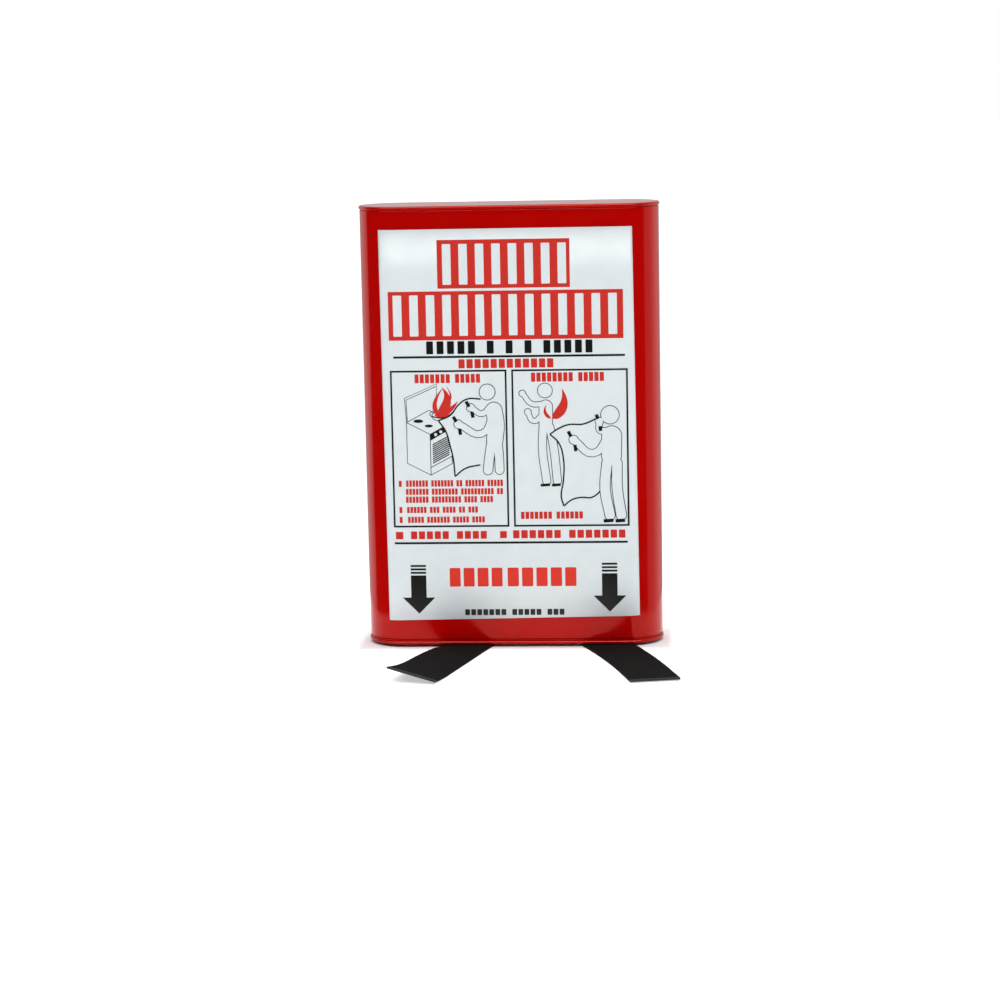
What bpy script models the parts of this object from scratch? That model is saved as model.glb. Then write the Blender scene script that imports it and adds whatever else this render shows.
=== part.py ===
"""Fire blanket in a flat sheet-metal case, with two woven pull tapes at its mouth.

Units are metres, +Z is up and the case's front faces -Y. The origin is on the wall plane, the outer
face of the case's back, midway between the two keyholes that the case hangs on. The case is modelled
standing on a table, with the ends of both tapes drawn out under its front rim.
"""

import bpy
import bmesh
from math import cos, exp, pi, radians, sin, sqrt
from mathutils import Matrix, Vector

# ------------------------------------------------------------------ driving dimensions

CASE_W = 0.1964  # outer width of the sheet body
CASE_D = 0.0500  # outer depth; both ends are half round
CASE_H = 0.2900  # from the underside of the bottom ring to the top of the lid
SHEET = 0.0006  # tin plate
FIT = 0.0003  # clearance between pieces that touch

TOP_BAND_H = 0.0025  # height of the seam bead at the top
BOTTOM_BAND_H = 0.0034  # height of the seam bead round the mouth
BEAD_PROUD = 0.0006  # how far both beads stand out from the body
BEAD_ROUND = 0.0008  # rounding of a bead's outer edges
PLUG_WALL = 0.0007  # skirt of an end piece, inside the body
PLUG_DEPTH = 0.0050  # how far a skirt reaches into the body
LIP = 0.0020  # inward lip of the bottom ring beyond the body's inner face
LIP_T = 0.0008  # thickness of that lip

KEYHOLE_DROP = 0.0450  # from the top of the lid down to the screws
KEYHOLE_SPAN = 0.1000  # between the two screws
KEYHOLE_HEAD_D = 0.0090  # round entry for a screw head
KEYHOLE_SLOT_W = 0.0046  # slot for a screw shank
KEYHOLE_RUN = 0.0090  # from the entry's centre up to the screw's seat
SEAM_W = 0.0080  # folded lock seam inside the back
SEAM_T = 0.0012

LABEL_W = 0.1656  # measured along the wall, so it wraps a little on to both ends
LABEL_LOW = 0.0180  # label's lower edge above the ring's underside
LABEL_BELOW_TOP = 0.0150  # label's upper edge below the top of the lid
LABEL_T = 0.0002

# The cloth is 1 m square, folded six wide and then four high: PACK_W x 6 and PACK_H x 4 are its sides.
PLEATS = 6  # the first folding, side over side
PANELS = 4  # the second folding, end over end; each panel is a stack of the first's layers
LAYER_PITCH = 0.00152  # from one loosely folded layer to the next
PANEL_GAP = 0.0004
PACK_SIDE_AIR = 0.0149  # between the folded pack and the case's outer width, each side
PACK_LIFT = 0.0060  # lowest fold above the ring's underside
PACK_HEAD_AIR = 0.0340  # from the pack's top to the top of the lid
PACK_CLEAR = 0.0003  # the pack's upright corners miss the lip by this much

TAPE_W = 0.0320  # woven pull tape
TAPE_T = 0.0013
TAPE_ROOT_L = 0.0750  # inside the case, from the ring's underside up
TAIL_L = 0.1150  # outside, from the bend in the mouth to the sealed end
LEFT_INSET = 0.0377  # from the pack's side to the tape's outer edge
RIGHT_INSET = 0.0071
LEFT_HEADING = (14.4, 14.4)  # degrees out from straight ahead, at the bend and at the end
RIGHT_HEADING = (22.5, 12.5)
STITCH_SIDE = 0.0240  # box stitch that holds a tape to the blanket
STITCH_T = 0.0005
STITCH_LOW = 0.0440  # lower side of the box above the ring's underside
FLAT_RUN = 0.0140  # length of tail that stays flat under the front rim
LEFT_TWIST = (0.0052, 0.035)  # rise of the left tape's outer edge, and the run it builds up over
LEFT_CORNER = (0.0039, 0.040)  # further rise of its outer corner, over the last stretch
LEFT_CURL = (0.0014, 0.025)  # rise of its inner corner, over the last stretch
RIGHT_CURL = (0.0007, 0.030)  # rise of the right tape's whole end, over the last stretch

ARC_SEGMENTS = 28  # facets of one half-round end
BEND_STEPS = 12  # facets of one fold of the pack
LABEL_COLUMNS = 46
TAIL_STEPS = 24
ROUND_STEPS = 4  # facets of a bead's rounding
HEAD_SEGMENTS = 32
SLOT_SEGMENTS = 24
SAME_POINT = 1e-6

# ------------------------------------------------------------------ derived places

TOP_Z = KEYHOLE_DROP
BASE_Z = TOP_Z - CASE_H
MID_Y = -CASE_D / 2
STRAIGHT = (CASE_W - CASE_D) / 2  # half length of the flat front
PLUG_OUT = -(SHEET + FIT)  # offsets are from the body's outer face, outward positive
PLUG_IN = PLUG_OUT - PLUG_WALL
LIP_IN = -(SHEET + LIP)
SHELL_LOW = BASE_Z + BOTTOM_BAND_H + FIT
SHELL_HIGH = TOP_Z - TOP_BAND_H - FIT
LABEL_H = CASE_H - LABEL_LOW - LABEL_BELOW_TOP

MOUTH_R = CASE_D / 2 + LIP_IN  # radius of the mouth's half-round ends
PACK_W = CASE_W - 2 * PACK_SIDE_AIR
PACK_H = CASE_H - PACK_LIFT - PACK_HEAD_AIR
PACK_LOW = BASE_Z + PACK_LIFT
TAPE_ROOM = TAPE_T + STITCH_T + 3 * FIT
CORNER_DEPTH = sqrt((MOUTH_R - PACK_CLEAR) ** 2 - max(0.0, PACK_W / 2 - STRAIGHT) ** 2)
PACK_D = min(PLEATS * PANELS * LAYER_PITCH, 2 * CORNER_DEPTH, 2 * (MOUTH_R - TAPE_ROOM))
PANEL_PITCH = (PACK_D + PANEL_GAP) / PANELS
PANEL_T = PANEL_PITCH - PANEL_GAP
PACK_FRONT = MID_Y - PACK_D / 2
TAPE_BACK = PACK_FRONT - FIT
TAPE_MID_Y = TAPE_BACK - TAPE_T / 2
TAPE_FRONT = TAPE_BACK - TAPE_T
LEFT_X = -PACK_W / 2 + LEFT_INSET + TAPE_W / 2
RIGHT_X = PACK_W / 2 - RIGHT_INSET - TAPE_W / 2
TAIL_MID_Z = BASE_Z - FIT - TAPE_T / 2


# ------------------------------------------------------------------ helpers

def material(name, colour, roughness, metallic=0.0):
    """A Principled material with plain values."""
    made = bpy.data.materials.new(name)
    made.use_nodes = True
    shader = made.node_tree.nodes["Principled BSDF"]
    shader.inputs["Base Color"].default_value = (*colour, 1.0)
    shader.inputs["Roughness"].default_value = roughness
    shader.inputs["Metallic"].default_value = metallic
    return made


def collection(name):
    made = bpy.data.collections.new(name)
    bpy.context.scene.collection.children.link(made)
    return made


def piece(bm, name, group, look=None, origin=(0.0, 0.0, 0.0)):
    """Make the bmesh an object of the group, with its origin at the given point."""
    bmesh.ops.recalc_face_normals(bm, faces=bm.faces)
    bmesh.ops.translate(bm, verts=bm.verts, vec=-Vector(origin))
    mesh = bpy.data.meshes.new(name)
    bm.to_mesh(mesh)
    bm.free()
    obj = bpy.data.objects.new(name, mesh)
    obj.location = origin
    group.objects.link(obj)
    if look:
        mesh.materials.append(look)
    return obj


def smooth(obj, angle=35.0):
    obj.data.shade_smooth()
    obj.data.set_sharp_from_angle(angle=radians(angle))


def solidify(obj, thickness, offset):
    shell = obj.modifiers.new("Thickness", "SOLIDIFY")
    shell.thickness = thickness
    shell.offset = offset
    shell.use_even_offset = True


def cutter(bm, name):
    """A tool for a Boolean, kept out of the render."""
    obj = piece(bm, name, cutters)
    obj.display_type = "WIRE"
    obj.hide_render = True
    return obj


def boolean(obj, other, operation="DIFFERENCE"):
    cut = obj.modifiers.new(other.name, "BOOLEAN")
    cut.operation = operation
    cut.object = other
    cut.solver = "EXACT"


def outline_loop(bm, offset, z):
    """A closed edge loop round the case: two straight sides and two half-round ends."""
    radius = CASE_D / 2 + offset
    verts = []
    for side in (1, -1):
        for i in range(ARC_SEGMENTS + 1):
            turn = pi * i / ARC_SEGMENTS - pi / 2
            x = side * (STRAIGHT + radius * cos(turn))
            y = MID_Y + side * radius * sin(turn)
            verts.append(bm.verts.new((x, y, z)))
    ring = verts[1:] + verts[:1]
    return [bm.edges.new(pair) for pair in zip(verts, ring)]


def outward(co):
    """Unit direction away from the case's middle line, level."""
    spine = Vector((max(-STRAIGHT, min(STRAIGHT, co.x)), MID_Y, co.z))
    return (co - spine).normalized()


def sweep_round(bm, profile):
    """Carry the outline through (offset, z) stations by extruding it; returns first and last loops."""
    (offset, z), *rest = profile
    first = last = outline_loop(bm, offset, z)
    for next_offset, next_z in rest:
        grown = bmesh.ops.extrude_edge_only(bm, edges=last)["geom"]
        for vert in (g for g in grown if isinstance(g, bmesh.types.BMVert)):
            vert.co += outward(vert.co) * (next_offset - offset)
            vert.co.z = next_z
        last = [g for g in grown if isinstance(g, bmesh.types.BMEdge)]
        offset, z = next_offset, next_z
    return first, last


def rounded_corner(offset, z, out, up, radius):
    """(offset, z) stations round a bead's outer corner, from its side to its flat."""
    turns = [pi / 2 * i / ROUND_STEPS for i in range(ROUND_STEPS + 1)]
    return [(offset + out * radius * cos(t), z + up * radius * sin(t)) for t in turns]


def on_wall(run, offset):
    """(x, y) of a point a given run along the front from its middle, round on to the ends."""
    side = 1 if run >= 0 else -1
    beyond = abs(run) - STRAIGHT
    if beyond <= 0:
        return run, MID_Y - CASE_D / 2 - offset
    turn = beyond / (CASE_D / 2)
    radius = CASE_D / 2 + offset
    return side * (STRAIGHT + radius * sin(turn)), MID_Y - radius * cos(turn)


# ------------------------------------------------------------------ the case

def case_shell():
    """Sheet wrapped into a flat tube, locked together inside the back, with two keyholes."""
    bm = bmesh.new()
    sweep_round(bm, [(0.0, SHELL_LOW), (0.0, SHELL_HIGH)])
    shell = piece(bm, "case_shell", parts, red)
    solidify(shell, SHEET, -1.0)

    fold_low = SHELL_LOW + PLUG_DEPTH + FIT
    fold_high = SHELL_HIGH - PLUG_DEPTH - FIT
    depth = SHEET / 2 + SEAM_T
    place = Matrix.Translation((0.0, -SHEET / 2 - depth / 2, (fold_low + fold_high) / 2))
    size = Matrix.Diagonal((SEAM_W, depth, fold_high - fold_low, 1.0))
    bm = bmesh.new()
    bmesh.ops.create_cube(bm, size=1.0, matrix=place @ size)
    boolean(shell, cutter(bm, "lock_seam"), "UNION")

    lay = Matrix.Rotation(pi / 2, 4, "X")
    for name, side in (("left", -1), ("right", 1)):
        seat = Vector((side * KEYHOLE_SPAN / 2, -SHEET / 2, 0.0))
        head = Matrix.Translation(seat - Vector((0.0, 0.0, KEYHOLE_RUN)))
        bm = bmesh.new()
        bmesh.ops.create_cone(
            bm, cap_ends=True, segments=HEAD_SEGMENTS, radius1=KEYHOLE_HEAD_D / 2,
            radius2=KEYHOLE_HEAD_D / 2, depth=4 * SHEET, matrix=head @ lay,
        )
        boolean(shell, cutter(bm, f"{name}_head_hole"))
        bm = bmesh.new()
        bmesh.ops.create_cone(
            bm, cap_ends=True, segments=SLOT_SEGMENTS, radius1=KEYHOLE_SLOT_W / 2,
            radius2=KEYHOLE_SLOT_W / 2, depth=4 * SHEET, matrix=Matrix.Translation(seat) @ lay,
        )
        lower = [v for v in bm.verts if v.co.z < SAME_POINT]
        bmesh.ops.translate(bm, verts=lower, vec=(0.0, 0.0, -KEYHOLE_RUN))
        boolean(shell, cutter(bm, f"{name}_shank_slot"))
    smooth(shell)


def top_end():
    """Stamped lid: a flat panel, a rounded seam bead and a skirt inside the body."""
    low = TOP_Z - TOP_BAND_H
    corner_z = TOP_Z - BEAD_ROUND
    corner_o = BEAD_PROUD - BEAD_ROUND
    profile = [(PLUG_IN, TOP_Z - 2 * SHEET), (PLUG_IN, low - PLUG_DEPTH), (PLUG_OUT, low - PLUG_DEPTH)]
    profile += [(PLUG_OUT, low)]
    profile += rounded_corner(corner_o, low + BEAD_ROUND / 2, 1, -1, BEAD_ROUND / 2)[::-1]
    profile += rounded_corner(corner_o, corner_z, 1, 1, BEAD_ROUND)
    bm = bmesh.new()
    under, over = sweep_round(bm, profile)
    bmesh.ops.edgeloop_fill(bm, edges=under)
    bmesh.ops.edgeloop_fill(bm, edges=over)
    smooth(piece(bm, "top_end", parts, red))


def bottom_ring():
    """Stamped ring: seam bead, skirt inside the body, and a lip round the open mouth."""
    high = BASE_Z + BOTTOM_BAND_H
    corner_z = BASE_Z + BEAD_ROUND
    corner_o = BEAD_PROUD - BEAD_ROUND
    profile = [(LIP_IN, BASE_Z + LIP_T), (LIP_IN, BASE_Z)]
    profile += rounded_corner(corner_o, corner_z, 1, -1, BEAD_ROUND)[::-1]
    profile += rounded_corner(corner_o, high - BEAD_ROUND / 2, 1, 1, BEAD_ROUND / 2)
    profile += [(PLUG_OUT, high), (PLUG_OUT, high + PLUG_DEPTH), (PLUG_IN, high + PLUG_DEPTH)]
    profile += [(PLUG_IN, BASE_Z + LIP_T), (LIP_IN, BASE_Z + LIP_T)]
    bm = bmesh.new()
    sweep_round(bm, profile)
    bmesh.ops.remove_doubles(bm, verts=bm.verts, dist=SAME_POINT)
    smooth(piece(bm, "bottom_ring", parts, red))


def front_label():
    """Printed vinyl on the front, wrapped a little round both ends."""
    bm = bmesh.new()
    bmesh.ops.create_grid(bm, x_segments=LABEL_COLUMNS, y_segments=1, size=0.5)
    for vert in bm.verts:
        x, y = on_wall(vert.co.x * LABEL_W, FIT)
        z = BASE_Z + LABEL_LOW + (vert.co.y + 0.5) * LABEL_H
        vert.co = (x, y, z)
    label = piece(bm, "front_label", parts, vinyl)
    facing_front = label.data.polygons[0].normal.y < 0
    solidify(label, LABEL_T, 1.0 if facing_front else -1.0)
    smooth(label)


# ------------------------------------------------------------------ the blanket and its tapes

def blanket():
    """The folded pack: thick panels laid end over end, each standing for one stack of layers."""
    bend = PANEL_PITCH / 2
    low, high = PACK_LOW + bend + PANEL_T / 2, PACK_LOW + PACK_H - bend - PANEL_T / 2
    path = []
    for i in range(PANELS):
        y = MID_Y + (i - (PANELS - 1) / 2) * PANEL_PITCH
        start, end, way = (low, high, 1) if i % 2 == 0 else (high, low, -1)
        path += [(y, start), (y, end)]
        turns = [pi * k / BEND_STEPS for k in range(1, BEND_STEPS)] if i < PANELS - 1 else []
        path += [(y + bend - bend * cos(t), end + way * bend * sin(t)) for t in turns]
    bm = bmesh.new()
    verts = [bm.verts.new((-PACK_W / 2, y, z)) for y, z in path]
    edges = [bm.edges.new(pair) for pair in zip(verts, verts[1:])]
    grown = bmesh.ops.extrude_edge_only(bm, edges=edges)["geom"]
    moved = [g for g in grown if isinstance(g, bmesh.types.BMVert)]
    bmesh.ops.translate(bm, verts=moved, vec=(PACK_W, 0.0, 0.0))
    pack = piece(bm, "blanket", parts, glass_cloth)
    solidify(pack, PANEL_T, 0.0)
    smooth(pack)


def tape_root(name, x):
    """The part of a tape inside the case, flat against the pack."""
    place = Matrix.Translation((x, TAPE_MID_Y, BASE_Z + TAPE_ROOT_L / 2))
    bm = bmesh.new()
    bmesh.ops.create_grid(
        bm, x_segments=1, y_segments=6, size=0.5,
        matrix=place @ Matrix.Rotation(pi / 2, 4, "X") @ Matrix.Diagonal((TAPE_W, TAPE_ROOT_L, 1, 1)),
    )
    solidify(piece(bm, name, parts, webbing), TAPE_T, 0.0)


def box_stitch(name, x):
    """Thread sewn in a square with a cross, over the tape's root."""
    place = Matrix.Translation((x, TAPE_FRONT - FIT - STITCH_T / 2, BASE_Z + STITCH_LOW + STITCH_SIDE / 2))
    bm = bmesh.new()
    bmesh.ops.create_grid(
        bm, x_segments=1, y_segments=1, size=STITCH_SIDE / 2,
        matrix=place @ Matrix.Rotation(pi / 2, 4, "X"),
    )
    bmesh.ops.poke(bm, faces=bm.faces)
    stitch = piece(bm, name, parts, thread)
    wires = stitch.modifiers.new("Thread", "WIREFRAME")
    wires.thickness = STITCH_T
    wires.offset = 0.0
    wires.use_boundary = True
    wires.use_replace = True
    wires.use_even_offset = True


def past(run, stretch):
    """How far a run is into the last stretch of a tail, 0 before it and 1 at the sealed end."""
    return max(0.0, run - (TAIL_L - stretch)) / stretch


def left_lift(run, across):
    """The left tape's outer edge springs up off the table, most at its end."""
    (twist_rise, twist_run), (corner_rise, corner_run) = LEFT_TWIST, LEFT_CORNER
    curl_rise, curl_run = LEFT_CURL
    twist = twist_rise * (1 - exp(-max(0.0, run - FLAT_RUN) / twist_run))
    twist += corner_rise * past(run, corner_run) ** 2
    curl = curl_rise * past(run, curl_run) ** 2
    return twist * (0.5 - across / TAPE_W) + curl * (0.5 + across / TAPE_W)


def right_lift(run, across):
    """The right tape lies flat, with its end just off the table."""
    rise, stretch = RIGHT_CURL
    return rise * past(run, stretch) ** 2


def tape_tail(name, x, heading, outward_side, lift):
    """The part of a tape outside the case, turned out from straight ahead by its heading."""
    first, last = (radians(h) * outward_side for h in heading)
    bm = bmesh.new()
    bmesh.ops.create_grid(bm, x_segments=4, y_segments=TAIL_STEPS, size=0.5)
    for vert in bm.verts:
        run = (vert.co.y + 0.5) * TAIL_L
        across = vert.co.x * TAPE_W
        share = run / TAIL_L
        turn = first + (last - first) * share
        middle = first + (last - first) * share / 2
        height = lift(run, across)
        vert.co = (
            x + run * sin(middle) + across * cos(turn),
            TAPE_MID_Y - run * cos(middle) + across * sin(turn),
            TAIL_MID_Z + height,
        )
    origin = (x, TAPE_MID_Y, TAIL_MID_Z)
    tail = piece(bm, name, parts, webbing, origin)
    solidify(tail, TAPE_T, 0.0)
    smooth(tail)
    return tail


def main():
    case_shell()
    top_end()
    bottom_ring()
    front_label()
    blanket()
    for name, x in (("left", LEFT_X), ("right", RIGHT_X)):
        tape_root(f"{name}_tape_root", x)
        box_stitch(f"{name}_box_stitch", x)
    tape_tail("left_tape_tail", LEFT_X, LEFT_HEADING, -1, left_lift)
    tape_tail("right_tape_tail", RIGHT_X, RIGHT_HEADING, 1, right_lift)


for stale in list(bpy.data.objects):
    bpy.data.objects.remove(stale, do_unlink=True)

parts = collection("fire_blanket")
cutters = collection("cutters")

red = material("red_enamelled_tin", (0.402, 0.003, 0.002), 0.18)
vinyl = material("printed_vinyl", (0.68, 0.73, 0.74), 0.35)
glass_cloth = material("glass_fibre_cloth", (0.78, 0.76, 0.70), 0.85)
webbing = material("black_woven_tape", (0.012, 0.011, 0.011), 0.8)
thread = material("black_thread", (0.02, 0.02, 0.02), 0.7)

main()
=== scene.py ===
# %% [markdown]
# # A fire blanket in its sheet-metal case
#
# The real object is a flat red tin, open at the bottom, with half-round ends. A glass-fibre cloth of
# one metre square is folded inside it. Two black pull tapes are sewn to the cloth and come out of the
# mouth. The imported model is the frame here: it gives each place and size, and it moves the pieces.

# %% Load the frame
from math import cos, exp, pi, radians, sin
import bmesh
import bpy
from mathutils import Matrix, Vector, noise


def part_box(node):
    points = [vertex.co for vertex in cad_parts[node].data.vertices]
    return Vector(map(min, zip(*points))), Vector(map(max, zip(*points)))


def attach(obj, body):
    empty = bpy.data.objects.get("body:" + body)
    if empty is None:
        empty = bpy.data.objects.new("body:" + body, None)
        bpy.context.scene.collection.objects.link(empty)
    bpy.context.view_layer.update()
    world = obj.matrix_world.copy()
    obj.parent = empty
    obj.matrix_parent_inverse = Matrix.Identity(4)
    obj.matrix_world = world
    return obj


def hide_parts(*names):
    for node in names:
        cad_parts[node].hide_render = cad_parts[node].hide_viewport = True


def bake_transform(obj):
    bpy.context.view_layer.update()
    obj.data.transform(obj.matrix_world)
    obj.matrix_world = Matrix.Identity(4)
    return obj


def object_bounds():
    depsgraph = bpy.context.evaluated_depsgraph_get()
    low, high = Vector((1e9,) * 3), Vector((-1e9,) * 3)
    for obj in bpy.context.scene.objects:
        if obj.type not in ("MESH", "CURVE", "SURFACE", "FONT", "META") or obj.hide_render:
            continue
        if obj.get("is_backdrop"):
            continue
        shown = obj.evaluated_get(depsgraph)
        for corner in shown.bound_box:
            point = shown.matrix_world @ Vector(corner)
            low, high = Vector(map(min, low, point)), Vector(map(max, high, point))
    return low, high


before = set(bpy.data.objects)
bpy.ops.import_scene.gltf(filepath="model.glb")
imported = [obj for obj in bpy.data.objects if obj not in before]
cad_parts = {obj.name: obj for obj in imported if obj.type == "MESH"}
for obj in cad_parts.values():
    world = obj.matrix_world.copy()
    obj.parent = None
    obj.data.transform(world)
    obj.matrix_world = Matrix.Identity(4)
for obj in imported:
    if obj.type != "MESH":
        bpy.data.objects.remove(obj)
cad_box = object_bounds()

# %% [markdown]
# ## Sizes
#
# A shape that is typed in twice drifts apart. Most numbers below are read back from the frame's
# pieces, and only what a box can't say, such as a sheet's thickness, is written out. All are metres.

# %% Places read from the frame
shell_low, shell_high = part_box("case_shell")
_, lid_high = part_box("top_end")
ring_low, ring_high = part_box("bottom_ring")
pack_low, pack_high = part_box("blanket")

DEPTH = shell_high.y - shell_low.y
RADIUS = DEPTH / 2
MID_Y = (shell_low.y + shell_high.y) / 2
STRAIGHT = shell_high.x - RADIUS
TOP_Z = lid_high.z
BASE_Z = ring_low.z
BEAD_PROUD = lid_high.x - shell_high.x
print(f"case {2 * shell_high.x * 1000:.1f} x {DEPTH * 1000:.1f} x {(TOP_Z - BASE_Z) * 1000:.1f} mm")

# %% Thicknesses and clearances of the stampings
SHEET = 0.0006
FIT = 0.0003
SKIRT = 0.0007
LIP = 0.0020
LIP_T = 0.0008
LABEL_T = 0.0002
SKIRT_OUT = -(SHEET + FIT)
SKIRT_IN = SKIRT_OUT - SKIRT
LIP_IN = -(SHEET + LIP)
print(f"sheet {SHEET * 1000:.1f} mm, skirts stand {-SKIRT_OUT * 1000:.1f} mm inside")

# %% [markdown]
# ## Helpers for finishes
#
# Hex colours are read off swatches and are gamma-coded, while shaders add light linearly, so one
# function decodes them. One more adds a node with its settings and links.

# %% Colour and node helpers
def linear(code):
    parts = [int(code[i:i + 2], 16) / 255 for i in (1, 3, 5)]
    return [p / 12.92 if p <= 0.04045 else ((p + 0.055) / 1.055) ** 2.4 for p in parts] + [1.0]


def node(tree, kind, sockets=None, **settings):
    made = tree.nodes.new(kind)
    for name, value in settings.items():
        setattr(made, name, value)
    for name, value in (sockets or {}).items():
        if isinstance(value, bpy.types.NodeSocket):
            tree.links.new(value, made.inputs[name])
        else:
            made.inputs[name].default_value = value
    return made


def new_finish(name, **fixed):
    """A material's node tree and shader, with its even values set on the shader itself."""
    look = bpy.data.materials.new(name)
    look.use_nodes = True
    shader = look.node_tree.nodes["Principled BSDF"]
    for socket, value in fixed.items():
        shader.inputs[socket.replace("_", " ")].default_value = value
    return look, look.node_tree, shader


def per(millimetres):
    """Texture scale that gives a pattern this many millimetres long."""
    return 1000 / millimetres


AXIS_BANDS = pi / 10  # a wave texture's bands across X or Y lie this far apart at scale 1
DIAGONAL_BANDS = pi / 5  # and its diagonal bands, measured along X
print("helpers ready; #AA0000 is", [round(c, 3) for c in linear("#AA0000")])

# %% [markdown]
# ## Finish: stoved enamel on tinplate
#
# The case is tinplate, sprayed red and stoved. The enamel levels to a high gloss with a faint
# orange peel of about 2 mm, and a thin flat panel is never quite flat, so reflections in it swim a
# little. Handling leaves faint smears in the gloss. Pigment right under the skin tints what little
# it mirrors head-on, so that tint is set on the shader. A wrapped image would do this as well, but
# noise on object coordinates has no seam where the sheet meets itself.

# %% Enamel
enamel, tree, shader = new_finish(
    "red_stoved_enamel", IOR=1.5, Specular_Tint=linear("#FF9A90"))
place = node(tree, "ShaderNodeTexCoord").outputs["Object"]
drift = node(tree, "ShaderNodeTexNoise", {"Vector": place, "Scale": per(70), "Detail": 2.0})
tone = node(tree, "ShaderNodeMix", {
    "Factor": drift.outputs["Fac"], "A": linear("#A60100"), "B": linear("#AE0402")}, data_type="RGBA")
tree.links.new(tone.outputs["Result"], shader.inputs["Base Color"])
smears = node(tree, "ShaderNodeTexNoise", {
    "Vector": place, "Scale": per(24), "Detail": 5.0, "Distortion": 0.8})
gloss = node(tree, "ShaderNodeMapRange", {
    "Value": smears.outputs["Fac"], "From Min": 0.35, "From Max": 0.75, "To Min": 0.07, "To Max": 0.15})
tree.links.new(gloss.outputs["Result"], shader.inputs["Roughness"])
swim = node(tree, "ShaderNodeTexNoise", {"Vector": place, "Scale": per(55), "Detail": 1.0})
swell = node(tree, "ShaderNodeBump", {
    "Height": swim.outputs["Fac"], "Strength": 1.0, "Distance": 0.0003})
peel = node(tree, "ShaderNodeTexNoise", {"Vector": place, "Scale": per(2.2), "Detail": 2.0})
skin = node(tree, "ShaderNodeBump", {
    "Height": peel.outputs["Fac"], "Strength": 1.0, "Distance": 0.000005,
    "Normal": swell.outputs["Normal"]})
tree.links.new(skin.outputs["Normal"], shader.inputs["Normal"])
print("made", enamel.name)

# %% [markdown]
# ## Finish: printed vinyl and its inks
#
# The label is calendered white vinyl with a satin face. Screen inks lie on it as a film that is a
# little glossier than the vinyl and a little uneven where the mesh left it thin. Each ink is one
# material, so it can be repainted alone.

# %% Vinyl and inks
def film(name, light, dark, grain, low, high):
    """A satin film: two tones mottled at a grain size, and a gloss that wanders between low and high."""
    look, tree, shader = new_finish(name, IOR=1.48)
    place = node(tree, "ShaderNodeTexCoord").outputs["Object"]
    mottle = node(tree, "ShaderNodeTexNoise", {"Vector": place, "Scale": per(grain), "Detail": 4.0})
    tone = node(tree, "ShaderNodeMix", {
        "Factor": mottle.outputs["Fac"], "A": linear(light), "B": linear(dark)}, data_type="RGBA")
    tree.links.new(tone.outputs["Result"], shader.inputs["Base Color"])
    gloss = node(tree, "ShaderNodeMapRange", {
        "Value": mottle.outputs["Fac"], "To Min": low, "To Max": high})
    tree.links.new(gloss.outputs["Result"], shader.inputs["Roughness"])
    fine = node(tree, "ShaderNodeTexNoise", {"Vector": place, "Scale": per(0.9), "Detail": 3.0})
    skin = node(tree, "ShaderNodeBump", {
        "Height": fine.outputs["Fac"], "Strength": 1.0, "Distance": 0.000006})
    tree.links.new(skin.outputs["Normal"], shader.inputs["Normal"])
    return look


vinyl = film("calendered_white_vinyl", "#DCE4E6", "#D2DADD", 9.0, 0.34, 0.46)
ink_red = film("screen_ink_red", "#CE1B02", "#C21600", 3.0, 0.28, 0.42)
ink_warm = film("screen_ink_warm_red", "#DE2A08", "#D42206", 3.0, 0.28, 0.42)
ink_black = film("screen_ink_black", "#0B0C0B", "#040505", 3.0, 0.26, 0.40)
print("made", vinyl.name, ink_red.name, ink_warm.name, ink_black.name)

# %% [markdown]
# ## Finish: black woven tape
#
# The tapes are polypropylene webbing in a fine twill, with yarns well under a millimetre apart. That
# is finer than a view of the whole object can show, so the weave is drawn several times too coarse:
# a twill line every 5.5 mm across the tape and a pick every 2.2 mm along it. A tighter selvedge runs
# along both sides, and the cut end is melted shut with a hot knife, which leaves a hard, shiny band.
# Its lighter blue-grey tone is a painted highlight, where light catches that shiny band. All of it
# follows the tape's own UV map: U runs across and V along, both in metres.

# %% Webbing
TAPE_W = 0.0320
TAPE_LENGTH = 0.189
SELVEDGE = (0.0024, 0.0018)  # where its blend starts and is full, from the tape's side
MELTED = (0.0026, 0.0016)  # the same for the sealed end, from the cut
webbing, tree, shader = new_finish(
    "black_polypropylene_webbing", IOR=1.49, Specular_IOR_Level=0.05, Sheen_Weight=0.01,
    Sheen_Roughness=0.5)
flat_place = node(tree, "ShaderNodeUVMap", uv_map="cloth").outputs["UV"]
twill = node(tree, "ShaderNodeTexWave", {
    "Vector": flat_place, "Scale": per(5.53) * DIAGONAL_BANDS, "Distortion": 0.3, "Detail": 2.0,
    "Detail Scale": 3.0}, wave_type="BANDS", bands_direction="DIAGONAL")
picks = node(tree, "ShaderNodeTexWave", {
    "Vector": flat_place, "Scale": per(2.17) * AXIS_BANDS, "Distortion": 0.2}, wave_type="BANDS",
    bands_direction="Y")
weave = node(tree, "ShaderNodeMath", {
    0: twill.outputs["Fac"], 1: picks.outputs["Fac"]}, operation="MULTIPLY")
lint = node(tree, "ShaderNodeTexNoise", {"Vector": flat_place, "Scale": per(4), "Detail": 5.0})
yarn = node(tree, "ShaderNodeMix", {
    "Factor": weave.outputs["Value"], "A": linear("#040404"), "B": linear("#121110")},
    data_type="RGBA")
dusty = node(tree, "ShaderNodeMix", {
    "Factor": lint.outputs["Fac"], "A": yarn.outputs["Result"], "B": linear("#090909")},
    data_type="RGBA")
parts_uv = node(tree, "ShaderNodeSeparateXYZ", {"Vector": flat_place})
from_side = node(tree, "ShaderNodeMath", {0: parts_uv.outputs["X"]}, operation="ABSOLUTE")
selvedge = node(tree, "ShaderNodeMapRange", {
    "Value": from_side.outputs["Value"], "From Min": TAPE_W / 2 - SELVEDGE[0],
    "From Max": TAPE_W / 2 - SELVEDGE[1]})
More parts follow.
